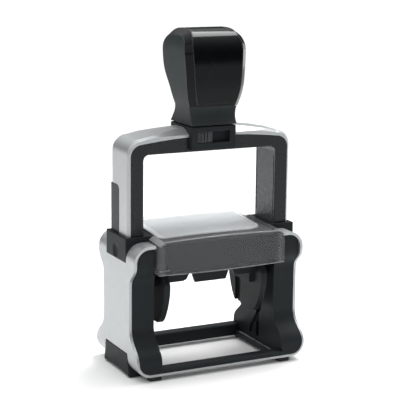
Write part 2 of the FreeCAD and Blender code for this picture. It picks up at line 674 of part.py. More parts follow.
def lock_housing():
    front, rear = -LEG_Y - LOCK_FRONT, LEG_Y + LOCK_REAR
    body = box(-LOCK_X, LOCK_X, front, rear, LOCK_LOW, LOCK_TOP)

    def at_end(edge):
        y = edge.CenterOfMass.y
        return y < front + 0.1 or y > rear - 0.1
    rim = edges_where(body, lambda e: not along(e, V(0, 0, 1)) or at_end(e))
    body = body.makeFillet(0.6, [e for e in rim if e.CenterOfMass.z > LOCK_LOW + 0.1])
    body = body.cut(lock_window())
    for s in (-1, 1):
        body = body.cut(rod_z(s * GRIP_SCREW_X, GRIP_SCREW_Y, LOCK_LOW - 1, LOCK_TOP + 1, GRIP_SCREW_R))
    return body


def lock_slider():
    window = lock_window().BoundBox
    front = -LEG_Y - LOCK_FRONT
    x0 = -SLOT_X + 0.2
    body = box(x0, x0 + SLIDER_W, front + 0.6, front + SLOT_DEPTH - FIT, window.ZMin + 0.2, window.ZMax - 0.2)
    middle = x0 + SLIDER_W / 2
    for k in (-1, 0, 1):
        rib = box(middle + 1.6 * k - 0.4, middle + 1.6 * k + 0.4, front - 0.1, front + 0.7,
                  window.ZMin + 0.9, window.ZMax - 0.9)
        body = body.fuse(rib)
    return body.removeSplitter()


# ---- grip ----
# outlines of the grip as (height, distance from the middle), in shares of GRIP_H and of GRIP_Y or GRIP_X
GRIP_FRONT = [(0.17, 0.89), (0.27, 0.935), (0.38, 0.985), (0.54, 1.0), (0.72, 0.98), (0.86, 0.90)]
GRIP_REAR = [(0.17, 0.42), (0.27, 0.445), (0.36, 0.51), (0.45, 0.66), (0.56, 0.80), (0.74, 0.84),
             (0.86, 0.78)]
NECK_FRONT = [(0.0, 0.78), (0.07, 0.70), (0.14, 0.67), (0.24, 0.70)]
NECK_REAR = [(0.0, 0.62), (0.07, 0.49), (0.14, 0.33), (0.20, 0.245), (0.24, 0.22)]
GRIP_WIDTH = [(0.0, 0.74), (0.10, 0.73), (0.19, 0.78), (0.28, 0.86), (0.38, 0.915), (0.54, 0.955),
              (0.72, 0.99), (0.80, 1.0), (0.89, 0.97)]
CROWN_WIDTH = 0.83       # half width of the flat top, in shares of GRIP_X


def outline(table, reach, x):
    """Points of one outline, reach being negative for the front."""
    return [V(x, reach * share, GRIP_LOW + GRIP_H * h) for h, share in table]


def grip_side_view(inset, x0, x1):
    """Upper part of the grip from the side: full in front, hollow behind, round over the top."""
    crown = GRIP_TOP - inset
    front = [V(x0, p.y + inset, p.z) for p in outline(GRIP_FRONT, -GRIP_Y, x0)]
    rear = [V(x0, p.y - inset, p.z) for p in outline(GRIP_REAR, GRIP_Y, x0)]
    over = [V(x0, -GRIP_Y * 0.62, crown - 1.2), V(x0, -GRIP_Y * 0.08, crown),
            V(x0, GRIP_Y * 0.46, crown - 1.2)]
    points = front + over + rear[::-1]
    face = Part.Face(Part.Wire([spline(points), line(points[-1], points[0])]))
    return face.extrude(V(x1 - x0, 0, 0))


def neck_side_view():
    """Lower part of the grip from the side: a flared foot under a slim neck."""
    front = outline(NECK_FRONT, -GRIP_Y, -FAR)
    rear = outline(NECK_REAR, GRIP_Y, -FAR)[::-1]
    edges = [spline(front), line(front[-1], rear[0]), spline(rear), line(rear[-1], front[0])]
    return Part.Face(Part.Wire(edges)).extrude(V(2 * FAR, 0, 0))


def grip_front_view(inset):
    """Outline seen from the front: flat top with round corners, narrowing to the neck."""
    y0 = -FAR
    top = GRIP_TOP + 0.5
    flat = GRIP_X * CROWN_WIDTH - inset
    side = [V(GRIP_X * share - inset, y0, GRIP_LOW + GRIP_H * h) for h, share in GRIP_WIDTH]
    side.append(V(flat, y0, top))
    other = [V(-p.x, p.y, p.z) for p in reversed(side)]
    edges = [spline(side), line(side[-1], other[0]), spline(other), line(other[-1], side[0])]
    return Part.Face(Part.Wire(edges)).extrude(V(0, 2 * FAR, 0))


def grip_body():
    """Upper part of the grip, its long edges bevelled."""
    body = grip_side_view(0, -FAR, FAR).common(grip_front_view(0))
    low = body.BoundBox.ZMin
    long_edges = edges_where(body, lambda e: e.BoundBox.ZMax > GRIP_TOP - 4 and e.BoundBox.ZMin < low + 1)
    body = body.makeChamfer(GRIP_BEVEL, long_edges)
    return body.common(box(-FAR, FAR, -FAR, FAR, SHELL_LOW, GRIP_TOP + 1))


def panel_form(grow):
    """Inlay down the front of the shell, over its top and down its back, inside the bevels."""
    inside = grip_front_view(GRIP_BEVEL + PANEL_RIM - grow)
    return inside.common(box(-FAR, FAR, -FAR, FAR, SHELL_LOW + PANEL_RISE - grow, GRIP_TOP + 1))


def grip_core():
    upper = grip_body().common(grip_side_view(SHELL_T, -FAR, FAR))
    lower = neck_side_view().common(grip_front_view(0))
    lower = lower.common(box(-FAR, FAR, -FAR, FAR, GRIP_LOW, SHELL_LOW))
    spigot = rod_z(0, 0, LOCK_TOP, GRIP_LOW + 1, 7.0)
    core = upper.multiFuse([lower, spigot])
    for s in (-1, 1):
        hole_top = GRIP_LOW + GRIP_SCREW_BITE
        core = core.cut(rod_z(s * GRIP_SCREW_X, GRIP_SCREW_Y, LOCK_TOP - 1, hole_top, GRIP_SCREW_R))
    return core.removeSplitter()


def grip_shell():
    shell = grip_body().cut(grip_side_view(SHELL_T, -FAR, FAR))
    inlay_space = panel_form(PANEL_SEAM).cut(grip_side_view(PANEL_T, -FAR, FAR))
    return shell.cut(inlay_space)


def grip_panel():
    return grip_body().common(panel_form(0)).cut(grip_side_view(PANEL_T, -FAR, FAR))


# ---- plate holder ----
def local(x, y, t):
    """Point on the plate holder, t above its axle."""
    return V(x, y, AXIS_Z + t)


def web(y0, y1):
    """Web under the carrier, its lower edge notched either side of a middle tab."""
    half = [(ARM_IN, 0.0), (15.0, 0.0), (13.2, 0.8), (11.6, 3.6), (10.2, 3.6), (8.4, -1.3)]
    points = [local(ARM_IN, y0, CARRIER_TOP - 0.5)] + [local(x, y0, t) for x, t in half]
    other = [V(-p.x, p.y, p.z) for p in reversed(points)]
    return polygon(points + other, V(0, y1 - y0, 0))


def plate_carrier():
    low = AXIS_Z + CARRIER_TOP - CARRIER_T
    high = AXIS_Z + CARRIER_TOP
    plate = box(-HOLDER_X, HOLDER_X, -HOLDER_Y, HOLDER_Y, low, high)
    webs = [web(-WEB_Y - WEB_T, -WEB_Y), web(WEB_Y, WEB_Y + WEB_T)]
    return plate.multiFuse(webs).removeSplitter()


def end_plate():
    top = CARRIER_TOP - CARRIER_T
    y = HOLDER_Y
    drop = -ARM_DROP
    half = [(y - 0.5, top), (y + 3.0, 1.0), (y + 3.0, 0.15 * drop), (y + 1.9, 0.4 * drop),
            (y - 0.6, 0.7 * drop), (y - 3.3, 0.91 * drop), (y - 5.5, drop)]
    right = [local(ARM_IN, y, t) for y, t in half]
    left = [V(p.x, -p.y, p.z) for p in reversed(right)]
    curve = [line(right[0], right[1]), spline(right[1:]), line(right[-1], left[0]),
             spline(left[:-1]), line(left[-2], left[-1]), line(left[-1], right[0])]
    body = Part.Face(Part.Wire(curve)).extrude(V(ARM_T, 0, 0))
    block_y = WEB_Y - 1.0
    block_low = AXIS_Z - BUSH_R - 3.0
    block = box(BLOCK_IN, ARM_IN, -block_y, block_y, block_low, AXIS_Z + top)
    recess = box(ARM_IN - 1, ARM_IN + ARM_T / 2, 4.0, 10.0, AXIS_Z - ARM_DROP - 5, block_low - 1.0)
    body = body.fuse(block).cut(recess)
    body = body.fuse(rod_x(ARM_IN + ARM_T - 0.5, BOSS_END, 0, AXIS_Z, AXLE_R + 2.0))
    body = body.fuse(rod_x(ARM_IN + ARM_T - 0.5, BOSS_END, -PEG_ARM, AXIS_Z, PEG_R + 1.1))
    body = body.cut(rod_x(0, FAR, 0, AXIS_Z, AXLE_R))
    body = body.cut(rod_x(ARM_IN + 1, FAR, -PEG_ARM, AXIS_Z, PEG_R))
    return body.removeSplitter()


def axle_pin():
    return rod_x(BLOCK_IN, BUSH_END - SLIDE, 0, AXIS_Z, AXLE_R)


def cam_peg():
    return rod_x(ARM_IN + 1, WALL_IN + PEG_REACH, -PEG_ARM, AXIS_Z, PEG_R)


def plate_backing():
    low = AXIS_Z + CARRIER_TOP
    return box(-PLATE_X, PLATE_X, -PLATE_Y, PLATE_Y, low, low + BACKING_T)


def text_plate():
    """Rubber sheet with plain raised bars in place of lettering."""
    low = AXIS_Z + CARRIER_TOP + BACKING_T
    sheet = box(-PLATE_X, PLATE_X, -PLATE_Y, PLATE_Y, low, low + SHEET_T)
    rows = 5
    pitch = 2 * (PLATE_Y - 1.0) / rows
    bars = []
    for i in range(rows):
        y = -PLATE_Y + 1.0 + pitch * (i + 0.5)
        half = PLATE_X - 3.0 - 4.0 * (i % 2)
        bars.append(box(-half, half, y - 1.2, y + 1.2, low, low + SHEET_T + RELIEF))
    return sheet.multiFuse(bars).removeSplitter()


# ---- ink cartridge ----
def ink_pad():
    x = TRAY_X - TRAY_T
    y = TRAY_Y - TRAY_T
    return box(-x, x, -y, y, PAD_FACE, TRAY_TOP - 1.5)


def cartridge_tray():
    body = box(-TRAY_X, TRAY_X, -TRAY_Y, TRAY_Y, TRAY_LOW, TRAY_TOP)
    flange_low = RAIL_LOW + RAIL_T + 0.2
    flange_x = TRAY_X + FLANGE
    flange = box(-flange_x, flange_x, -TRAY_Y, TRAY_Y, flange_low, flange_low + FLANGE)
    tab = box(-12, 12, TRAY_Y, TRAY_Y + 3.2, TRAY_LOW + 0.6, TRAY_TOP - 0.4)
    tab = tab.makeFillet(1.2, edges_where(tab, lambda e: e.CenterOfMass.y > TRAY_Y + 3))
    return body.multiFuse([flange, tab]).cut(ink_pad()).removeSplitter()


# ---- hood ----
def hood_section(inset, y, length):
    """Front view of the hood: arched top and bottom edges, clipped upper corners."""
    x = HOOD_X - inset
    low = HOOD_LOW + inset
    high = HOOD_TOP - inset
    clip_x, clip_z = x - 2.7, high - 1.7
    edges = [
        arc(V(-x, y, low), V(0, y, low - 0.6), V(x, y, low)),
        line(V(x, y, low), V(x, y, clip_z)),
        line(V(x, y, clip_z), V(clip_x, y, high)),
        arc(V(clip_x, y, high), V(0, y, high + 0.7), V(-clip_x, y, high)),
        line(V(-clip_x, y, high), V(-x, y, clip_z)),
        line(V(-x, y, clip_z), V(-x, y, low)),
    ]
    slope = HOOD_RISE / (HOOD_FRONT + HOOD_REAR)
    start = slope * (y + HOOD_FRONT)
    solid = prism(edges, V(0, length, slope * length))
    solid.translate(V(0, 0, start))
    return solid


def hood():
    length = HOOD_FRONT + HOOD_REAR
    outer = hood_section(0, -HOOD_FRONT, length)
    front_rim = edges_where(outer, lambda e: e.BoundBox.YMax < -HOOD_FRONT + 0.01)
    outer = outer.makeFillet(HOOD_EDGE_R, front_rim)
    notch_y = -COLLAR_Y - SLIDE
    for s in (-1, 1):
        side = box(HOOD_NECK, FAR, notch_y, FAR, 0, GRIP_TOP)
        outer = outer.cut(side if s > 0 else mirror(side))
    corner = polygon([V(HOOD_NECK - 3.4, HOOD_REAR + 1, 0), V(HOOD_NECK - 3.4, HOOD_REAR, 0),
                      V(HOOD_NECK + 1, HOOD_REAR - 6.5, 0), V(HOOD_NECK + 1, HOOD_REAR + 1, 0)],
                     V(0, 0, GRIP_TOP))
    outer = outer.cut(both(corner))
    void = hood_section(HOOD_T, -HOOD_FRONT + HOOD_T, length + 5)
    for s in (-1, 1):
        side = box(HOOD_NECK - HOOD_T, FAR, notch_y - HOOD_T, FAR, 0, GRIP_TOP)
        void = void.cut(side if s > 0 else mirror(side))
    half = HOOD_X - HOOD_T
    below = box(-half, half, -HOOD_FRONT + HOOD_T, FAR, 0, DECK_TOP + 0.4)
    return outer.cut(void).cut(below).removeSplitter()


def hood_liner():
    """Dark plate on the inside of the hood's front, narrower at the bottom."""
    y = -HOOD_FRONT + HOOD_T
    top_x = HOOD_X - 3.6
    low_x = top_x - 1.6
    top = HOOD_TOP - HOOD_T - 0.4
    low = HOOD_LOW + 1.5
    points = [V(-low_x, y, low), V(low_x, y, low), V(top_x, y, top), V(-top_x, y, top)]
    return polygon(points, V(0, LINER_T, 0))


def index_card():
    """Card under the roof of the hood, its front edge bowed and its right end short."""
    under = hood_section(HOOD_T + CARD_PLAY, -HOOD_FRONT + HOOD_T, HOOD_FRONT + HOOD_REAR - HOOD_T - 0.5)
    lower = under.copy()
    lower.translate(V(0, 0, -CARD_T))
    layer = under.cut(lower)
    left = HOOD_NECK - HOOD_T - 0.3
    front = -HOOD_FRONT + 4.0
    rear = HOOD_REAR - 1.0
    z = DECK_TOP
    edges = [
        arc(V(-left, front + 8.0, z), V(-2, front + 6.0, z), V(CARD_RIGHT, front + 9.5, z)),
        line(V(CARD_RIGHT, front + 9.5, z), V(CARD_RIGHT, rear, z)),
        line(V(CARD_RIGHT, rear, z), V(-left + 4, rear, z)),
        line(V(-left + 4, rear, z), V(-left, rear - 6, z)),
        line(V(-left, rear - 6, z), V(-left, front + 8.0, z)),
    ]
    return layer.common(prism(edges, V(0, 0, FAR)))


def write(name, shape):
    solids = shape.Solids
    if len(solids) == 1:
        shape = solids[0]
    else:
        shape = Part.makeCompound(solids)
    shape.exportStep(os.path.join("parts", name + ".step"))
    print(name, len(solids), "solids", round(shape.Volume, 1), "mm3", shape.isValid())


def main():
    os.makedirs("parts", exist_ok=True)
    single = {
        "base_frame": base_frame, "base_plate": base_plate, "base_screws": base_screws,
        "rubber_feet": rubber_feet, "pad_bridge": pad_bridge, "bow_core": bow_core,
        "grip_screws": grip_screws, "lock_housing": lock_housing, "lock_slider": lock_slider,
        "grip_core": grip_core, "grip_shell": grip_shell, "grip_panel": grip_panel,
        "plate_carrier": plate_carrier, "plate_backing": plate_backing, "text_plate": text_plate,
        "cartridge_tray": cartridge_tray, "ink_pad": ink_pad, "hood": hood,
        "hood_liner": hood_liner, "index_card": index_card,
    }
    paired = {
        "cheek": cheek, "side_band": side_band, "collar": collar, "foot_block": foot_block,
        "window_strip": window_strip, "spring_post": spring_post, "return_spring": return_spring,
        "bow_trim": bow_trim, "leg_inlay": leg_inlay, "axle_bush": axle_bush, "end_plate": end_plate,
        "axle_pin": axle_pin, "cam_peg": cam_peg,
    }
    for name, make in single.items():
        write(name, make())
    for name, make in paired.items():
        piece = make()
        write("right_" + name, piece)
        write("left_" + name, mirror(piece))


main()
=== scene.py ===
"""Looks of the self-inking stamp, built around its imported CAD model."""

import json
import math

import bpy
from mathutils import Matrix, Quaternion, Vector


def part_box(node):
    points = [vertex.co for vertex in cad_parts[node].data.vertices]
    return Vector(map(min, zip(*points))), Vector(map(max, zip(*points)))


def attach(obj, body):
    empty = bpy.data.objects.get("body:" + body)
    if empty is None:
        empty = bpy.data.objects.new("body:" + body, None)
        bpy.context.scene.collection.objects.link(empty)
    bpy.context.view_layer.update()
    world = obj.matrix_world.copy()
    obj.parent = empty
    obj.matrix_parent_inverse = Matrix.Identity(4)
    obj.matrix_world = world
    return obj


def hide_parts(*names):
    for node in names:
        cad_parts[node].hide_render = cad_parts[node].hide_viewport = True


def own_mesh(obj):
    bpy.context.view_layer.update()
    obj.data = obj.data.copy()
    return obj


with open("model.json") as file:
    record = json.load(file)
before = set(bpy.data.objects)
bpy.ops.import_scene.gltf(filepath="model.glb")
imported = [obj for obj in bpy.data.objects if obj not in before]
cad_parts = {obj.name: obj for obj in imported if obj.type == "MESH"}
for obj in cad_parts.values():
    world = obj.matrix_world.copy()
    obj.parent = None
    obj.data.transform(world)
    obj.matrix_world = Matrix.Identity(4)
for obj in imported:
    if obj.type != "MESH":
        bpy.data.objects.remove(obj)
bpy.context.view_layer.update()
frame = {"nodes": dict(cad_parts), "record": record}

MM = 0.001


# ---- camera, floor and light ----
CAMERA_AT = Vector((-0.28859, -0.57524, 0.21505))
CAMERA_AIM = Vector((-0.0008, 0.0, 0.0812))
CAMERA_ROLL = 0.59            # degrees
LENS = 119.45                 # mm, on a 36 mm sensor
ZENITH = 2.2                  # strength of the sky straight up
SKY_FALLOFF = 2.0             # how fast it dims towards the horizon
SKY_TILT = 0.45               # how much brighter it is behind the stamp than in front
SOFT_BOXES = (                # name, place, aim, size in m, power in W
    ("top", (0.20, 0.08, 0.60), (0, -0.01, 0.12), (0.34, 0.16), 2.6),
    ("left", (-0.62, -0.30, 0.42), (0, 0, 0.12), (0.18, 0.5), 0.3),
    ("right", (0.60, 0.25, 0.30), (0, 0, 0.10), (0.2, 0.5), 0.6),
)
FLOOR_SIZE = 16.0
FLOOR_WHITE = 0.93


def make_camera():
    data = bpy.data.cameras.new("camera")
    data.lens = LENS
    data.sensor_width = 36.0
    data.clip_start = 0.05
    camera = bpy.data.objects.new("camera", data)
    bpy.context.scene.collection.objects.link(camera)
    look = (CAMERA_AIM - CAMERA_AT).to_track_quat("-Z", "Y")
    roll = Quaternion((0, 0, 1), math.radians(CAMERA_ROLL))
    camera.rotation_mode = "QUATERNION"
    camera.rotation_quaternion = look @ roll
    camera.location = CAMERA_AT
    bpy.context.scene.camera = camera


def area_light(name, at, aim, size, power):
    data = bpy.data.lights.new(name, "AREA")
    data.shape = "RECTANGLE"
    data.size, data.size_y = size
    data.energy = power
    light = bpy.data.objects.new(name, data)
    light.location = at
    light.rotation_euler = (Vector(aim) - Vector(at)).to_track_quat("-Z", "Y").to_euler()
    bpy.context.scene.collection.objects.link(light)


def make_lights():
    """A sky that is bright overhead and behind, dim at the horizon, and soft boxes for the highlights."""
    world = bpy.data.worlds.new("studio")
    world.use_nodes = True
    tree = world.node_tree
    background = tree.nodes["Background"]
    background.inputs["Color"].default_value = (1.0, 1.0, 1.0, 1.0)
    direction = tree.nodes.new("ShaderNodeTexCoord")
    split = tree.nodes.new("ShaderNodeSeparateXYZ")
    tree.links.new(direction.outputs["Generated"], split.inputs["Vector"])

    def combine(operation, *values):
        node = tree.nodes.new("ShaderNodeMath")
        node.operation = operation
        for value, socket in zip(values, node.inputs):
            if isinstance(value, float):
                socket.default_value = value
            else:
                tree.links.new(value, socket)
        return node.outputs["Value"]

    height = combine("MAXIMUM", split.outputs["Z"], 0.0)
    overhead = combine("MULTIPLY", combine("POWER", height, SKY_FALLOFF), ZENITH)
    behind = combine("MULTIPLY_ADD", split.outputs["Y"], SKY_TILT, 1.0)
    tree.links.new(combine("MULTIPLY", overhead, behind), background.inputs["Strength"])
    bpy.context.scene.world = world
    for box in SOFT_BOXES:
        area_light(*box)


def make_floor():
    mesh = bpy.data.meshes.new("floor")
    half = FLOOR_SIZE / 2
    corners = [(-half, -half, 0), (half, -half, 0), (half, half, 0), (-half, half, 0)]
    mesh.from_pydata(corners, [], [(0, 1, 2, 3)])
    floor = bpy.data.objects.new("floor", mesh)
    bpy.context.scene.collection.objects.link(floor)
    material = bpy.data.materials.new("floor")
    material.use_nodes = True
    shader = material.node_tree.nodes["Principled BSDF"]
    shader.inputs["Base Color"].default_value = (FLOOR_WHITE, FLOOR_WHITE, FLOOR_WHITE, 1)
    shader.inputs["Roughness"].default_value = 1.0
    shader.inputs["Specular IOR Level"].default_value = 0.0
    mesh.materials.append(material)


# ---- materials ----
NOISE_SPAN = (0.3, 0.7)       # where most of a noise's values lie
BEVEL_SAMPLES = 6
EDGE_SPAN = (0.985, 0.80)     # agreement of eased and plain normal, on a face and on a full edge
EDGE_HIGHLIGHT = 0.05              # painted highlight: how much lighter moulded plastic is painted along its edges
# painted highlight: how much lighter the polished plastic is painted along its edges
GLOSSY_EDGE_HIGHLIGHT = 0.16
ROUGH_SPREAD = 0.02
MOULDED_EDGE = 0.0003
MOULDED_GRAIN = 9000.0        # per metre
METAL_LINES = (1.0, 30.0, 30.0)
SIDEWAYS = 0.9                # part of the normal along X on a face that looks sideways
SLANTED = 0.2                 # product of two parts of the normal on an edge of the hood
HOOD_END_HAZE = 0.07
GLANCE_POWER = 5.0            # how fast the hood turns opaque as it is seen edge on
GLANCE_SHARE = 0.6


class Nodes:
    """Short names for building one material's node tree, in metres on the object's own coordinates."""

    def __init__(self, name):
        self.material = bpy.data.materials.new(name)
        self.material.use_nodes = True
        self.tree = self.material.node_tree
        self.shader = self.tree.nodes["Principled BSDF"]
        self.output = self.tree.nodes["Material Output"]
        self.place = self.add("ShaderNodeTexCoord").outputs["Object"]

    def add(self, kind, **inputs):
        node = self.tree.nodes.new(kind)
        for key, value in inputs.items():
            node.inputs[key.replace("_", " ")].default_value = value
        return node

    def link(self, start, end):
        self.tree.links.new(start, end)

    def stretched(self, scale):
        mapping = self.add("ShaderNodeMapping")
        mapping.inputs["Scale"].default_value = scale
        self.link(self.place, mapping.inputs["Vector"])
        return mapping.outputs["Vector"]

    def noise(self, per_metre, detail=2.0, rough=0.5, place=None):
        node = self.add("ShaderNodeTexNoise", Scale=per_metre, Detail=detail, Roughness=rough)
        self.link(place or self.place, node.inputs["Vector"])
        return node.outputs["Fac"]

    def math(self, operation, first, second=0.0):
        """A Math node on two sockets or numbers."""
        node = self.add("ShaderNodeMath")
        node.operation = operation
        for value, socket in zip((first, second), node.inputs):
            if isinstance(value, (int, float)):
                socket.default_value = value
            else:
                self.link(value, socket)
        return node.outputs["Value"]

    def parts(self, vector):
        """Size of the three parts of a vector."""
        split = self.add("ShaderNodeSeparateXYZ")
        self.link(vector, split.inputs["Vector"])
        return [self.math("ABSOLUTE", split.outputs[axis]) for axis in "XYZ"]

    def ramp(self, source, low, high):
        """Turns a 0 to 1 signal into a number between low and high."""
        node = self.add("ShaderNodeMapRange")
        self.link(source, node.inputs["Value"])
        node.inputs["From Min"].default_value, node.inputs["From Max"].default_value = NOISE_SPAN
        node.inputs["To Min"].default_value = low
        node.inputs["To Max"].default_value = high
        return node.outputs["Result"]

    def tint(self, source, dark, light):
        node = self.add("ShaderNodeMix")
        node.data_type = "RGBA"
        node.inputs["A"].default_value = (*dark, 1)
        node.inputs["B"].default_value = (*light, 1)
        self.link(self.ramp(source, 0.0, 1.0), node.inputs["Factor"])
        return node.outputs["Result"]

    def bump(self, source, height, edge=0.0):
        """Relief of that height in metres, over edges eased by that radius."""
        node = self.add("ShaderNodeBump", Strength=1.0, Distance=height)
        self.link(source, node.inputs["Height"])
        if edge > 0:
            self.link(self.eased_normal(edge), node.inputs["Normal"])
        return node.outputs["Normal"]

    def edge(self, radius):
        """1 along the hard edges and 0 on the faces: where an eased normal leaves the plain one."""
        eased = self.eased_normal(radius)
        agree = self.add("ShaderNodeVectorMath")
        agree.operation = "DOT_PRODUCT"
        self.link(eased, agree.inputs[0])
        self.link(self.plain_normal(), agree.inputs[1])
        mask = self.add("ShaderNodeMapRange")
        self.link(agree.outputs["Value"], mask.inputs["Value"])
        mask.inputs["From Min"].default_value, mask.inputs["From Max"].default_value = EDGE_SPAN
        return mask.outputs["Result"]

    def eased_normal(self, radius):
        bevel = self.add("ShaderNodeBevel", Radius=radius)
        bevel.samples = BEVEL_SAMPLES
        return bevel.outputs["Normal"]

    def plain_normal(self):
        return self.add("ShaderNodeNewGeometry").outputs["Normal"]

    def over(self, below, color, mask):
        """Lays a color over what is below, where the mask is 1."""
        node = self.add("ShaderNodeMix")
        node.data_type = "RGBA"
        self.link(below, node.inputs["A"])
        node.inputs["B"].default_value = (*color, 1)
        self.link(mask, node.inputs["Factor"])
        return node.outputs["Result"]

    def set(self, **values):
        for key, value in values.items():
            self.shader.inputs[key.replace("_", " ")].default_value = value


def shade(color, factor):
    return tuple(c * factor for c in color)


def moulded(name, color, rough, relief=0.000012, shine=0.24, reflection_color=None, reflection_bound=0.0):
    """Injection-moulded plastic: spark-eroded grain, cloudy gloss, and a painted highlight that makes the
    edges a little lighter.

    Faces that look along X and lie nearer to the middle than reflection_bound are painted reflection_color,
    a lighter painted reflection.
    """
    n = Nodes(name)
    broad = n.noise(90.0, 3.0)
    body = n.tint(broad, shade(color, 0.94), shade(color, 1.07))
    if reflection_color:
        # painted reflection: faces that look along X inside the given bound are painted a lighter color
        sideways = n.math("GREATER_THAN", n.parts(n.plain_normal())[0], SIDEWAYS)
        inner = n.math("LESS_THAN", n.parts(n.place)[0], reflection_bound)
        body = n.over(body, reflection_color, n.math("MULTIPLY", sideways, inner))
    # painted highlight: the hard edges are painted lighter than the plastic
    n.link(n.over(body, [c + EDGE_HIGHLIGHT for c in color], n.edge(MOULDED_EDGE)), n.shader.inputs["Base Color"])
    fine = n.noise(MOULDED_GRAIN, 2.0, 0.6)
    n.link(n.ramp(n.noise(260.0, 4.0), rough - ROUGH_SPREAD, rough + ROUGH_SPREAD),
           n.shader.inputs["Roughness"])
    n.link(n.bump(fine, relief, MOULDED_EDGE), n.shader.inputs["Normal"])
    n.set(Specular_IOR_Level=shine)
    return n.material


def glossy(name, color):
    """Polished black plastic with a trace of orange peel, and a painted highlight along its edges."""
    n = Nodes(name)
    body = n.tint(n.noise(120.0), shade(color, 0.85), shade(color, 1.2))
    # painted highlight: the hard edges of the polished plastic are painted lighter
    n.link(n.over(body, [c + GLOSSY_EDGE_HIGHLIGHT for c in color], n.edge(0.00025)), n.shader.inputs["Base Color"])
    n.link(n.ramp(n.noise(400.0, 4.0), 0.09, 0.14), n.shader.inputs["Roughness"])
    n.link(n.bump(n.noise(380.0, 1.0), 0.000004, 0.0003), n.shader.inputs["Normal"])
    n.set(Specular_IOR_Level=0.15)
    return n.material


def lacquer(name, color):
    """Silver lacquer on sheet metal: fine flake under a thin clear coat."""
    n = Nodes(name)
    flake = n.add("ShaderNodeTexVoronoi", Scale=9000.0)
    n.link(n.place, flake.inputs["Vector"])
    sparkle = n.add("ShaderNodeSeparateColor")
    n.link(flake.outputs["Color"], sparkle.inputs["Color"])
    n.link(n.tint(sparkle.outputs["Red"], shade(color, 0.93), shade(color, 1.05)),
           n.shader.inputs["Base Color"])
    n.link(n.ramp(n.noise(300.0, 3.0), 0.34, 0.44), n.shader.inputs["Roughness"])
    n.link(n.bump(n.noise(1500.0, 2.0), 0.000003, 0.00025), n.shader.inputs["Normal"])
    n.set(Metallic=0.55, Coat_Weight=0.25, Coat_Roughness=0.25)
    return n.material


def metal(name, color, rough):
    """Drawn or ground metal with fine lines along X."""
    n = Nodes(name)
    lines = n.noise(900.0, 3.0, 0.6, n.stretched(METAL_LINES))
    n.link(n.tint(lines, shade(color, 0.8), shade(color, 1.15)), n.shader.inputs["Base Color"])
    n.link(n.ramp(lines, rough - 0.06, rough + 0.1), n.shader.inputs["Roughness"])
    n.link(n.bump(lines, 0.000006, 0.0001), n.shader.inputs["Normal"])
    n.set(Metallic=1.0)
    return n.material


def soft(name, color, rough, grain, relief):
    """Rubber or felt: rough, with a visible grain."""
    n = Nodes(name)
    n.link(n.tint(n.noise(700.0, 4.0), shade(color, 0.75), shade(color, 1.25)),
           n.shader.inputs["Base Color"])
    n.link(n.ramp(n.noise(500.0), rough - 0.08, rough + 0.06), n.shader.inputs["Roughness"])
    n.link(n.bump(n.noise(grain, 3.0, 0.6), relief, 0.0002), n.shader.inputs["Normal"])
    return n.material


def paper(name, color):
    n = Nodes(name)
    fibre = n.noise(1800.0, 5.0, 0.7, n.stretched((0.4, 1.0, 1.0)))
    n.link(n.tint(fibre, shade(color, 0.965), shade(color, 1.02)), n.shader.inputs["Base Color"])
    n.link(n.ramp(fibre, 0.7, 0.82), n.shader.inputs["Roughness"])
    n.link(n.bump(fibre, 0.000008), n.shader.inputs["Normal"])
    return n.material


def smoked(name, color, haze, rim, end_from):
    """Smoked clear plastic: tinted, a little cloudy, paler at its ends, and with a painted highlight that
    turns its rounded and slanted edges paler.
    """
    n = Nodes(name)
    n.link(n.tint(n.noise(80.0, 2.0), shade(color, 0.94), shade(color, 1.06)),
           n.shader.inputs["Base Color"])
    n.link(n.ramp(n.noise(350.0, 3.0), 0.07, 0.12), n.shader.inputs["Roughness"])
    n.link(n.bump(n.noise(250.0, 1.0), 0.000002), n.shader.inputs["Normal"])
    n.set(Coat_Weight=0.3, Coat_Roughness=0.05)
    clear = n.add("ShaderNodeBsdfTransparent", Color=(0.96, 0.965, 0.968, 1))
    facing = n.add("ShaderNodeLayerWeight", Blend=0.5).outputs["Facing"]
    glance = n.math("MULTIPLY", n.math("POWER", facing, GLANCE_POWER), GLANCE_SHARE)
    x, y, z = n.parts(n.plain_normal())
    slant = n.math("MULTIPLY", n.math("MAXIMUM", x, y), z)
    # painted highlight: rounded and slanted edges of the hood turn more opaque and paler
    edge = n.math("MULTIPLY", n.math("GREATER_THAN", slant, SLANTED), rim)
    end = n.math("MULTIPLY", n.math("GREATER_THAN", n.parts(n.place)[0], end_from), HOOD_END_HAZE)
    mix = n.add("ShaderNodeMixShader")
    pale = n.math("ADD", n.math("ADD", edge, end), haze)
    n.link(n.math("ADD", glance, pale), mix.inputs["Fac"])
    n.link(clear.outputs["BSDF"], mix.inputs[1])
    n.link(n.shader.outputs["BSDF"], mix.inputs[2])
    n.link(mix.outputs["Shader"], n.output.inputs["Surface"])
    return n.material


